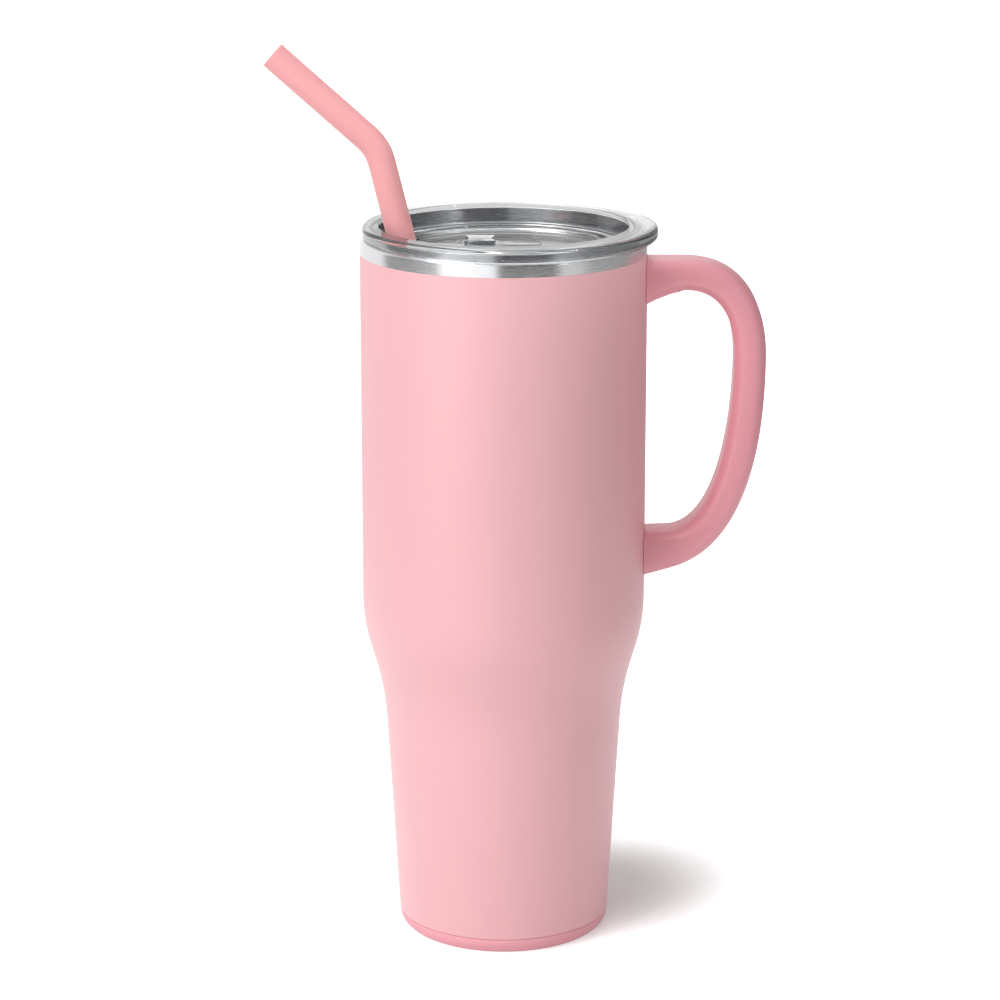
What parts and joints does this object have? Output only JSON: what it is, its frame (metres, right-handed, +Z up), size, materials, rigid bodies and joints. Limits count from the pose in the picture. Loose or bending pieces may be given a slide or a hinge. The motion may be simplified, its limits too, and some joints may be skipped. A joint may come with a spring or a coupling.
{
  "type": "insulated tumbler with lid",
  "caption": "Tall double-walled steel tumbler with a shoulder, a moulded side handle, a clear slider lid and a bent straw.",
  "frame": {"origin": "centre of the base pad's underside", "axes": "+Z up the body's axis, +X towards the handle"},
  "size_m": [0.1767, 0.1044, 0.3235],
  "materials": {
    "coated_shell": "fine satin powder coat",
    "brushed_rim": "brushed round the rim, satin inside",
    "bottom_steel": "as pressed",
    "getter_metal": "sintered",
    "sealing_glass": "melted bead",
    "base_silicone": "matte silicone",
    "handle_plastic": "fine satin moulding",
    "bracket_steel": "as pressed",
    "screw_steel": "turned",
    "lid_clear": "polished clear",
    "gasket_silicone": "translucent silicone",
    "slider_clear": "polished clear",
    "straw_silicone": "smooth matte silicone"
  },
  "bodies": {
    "vessel": {"outer_shell": "coated_shell", "inner_liner": "brushed_rim", "shell_bottom": "bottom_steel", "getter": "getter_metal", "vacuum_seal": "sealing_glass", "base_pad": "base_silicone", "handle_grip": "handle_plastic", "upper_bracket": "bracket_steel", "lower_bracket": "bracket_steel", "handle_screws": "screw_steel"},
    "lid": {"lid_body": "lid_clear", "lid_gasket": "gasket_silicone"},
    "slide": {"slider": "slider_clear", "slider_keeper": "slider_clear"},
    "drinking_straw": {"straw": "straw_silicone"}
  },
  "joints": [
    {"name": "lid_lift", "type": "slide", "parent": "vessel", "child": "lid", "axis": [0, 0, 1], "range_m": [0, 0.04]},
    {"name": "slider_close", "type": "slide", "parent": "lid", "child": "slide", "axis": [-1, 0, 0], "range_m": [0, 0.0026]},
    {"name": "straw_pull", "type": "slide", "parent": "lid", "child": "drinking_straw", "axis": [-0.2402, 0, 0.9707], "range_m": [0, 0.25]}
  ]
}
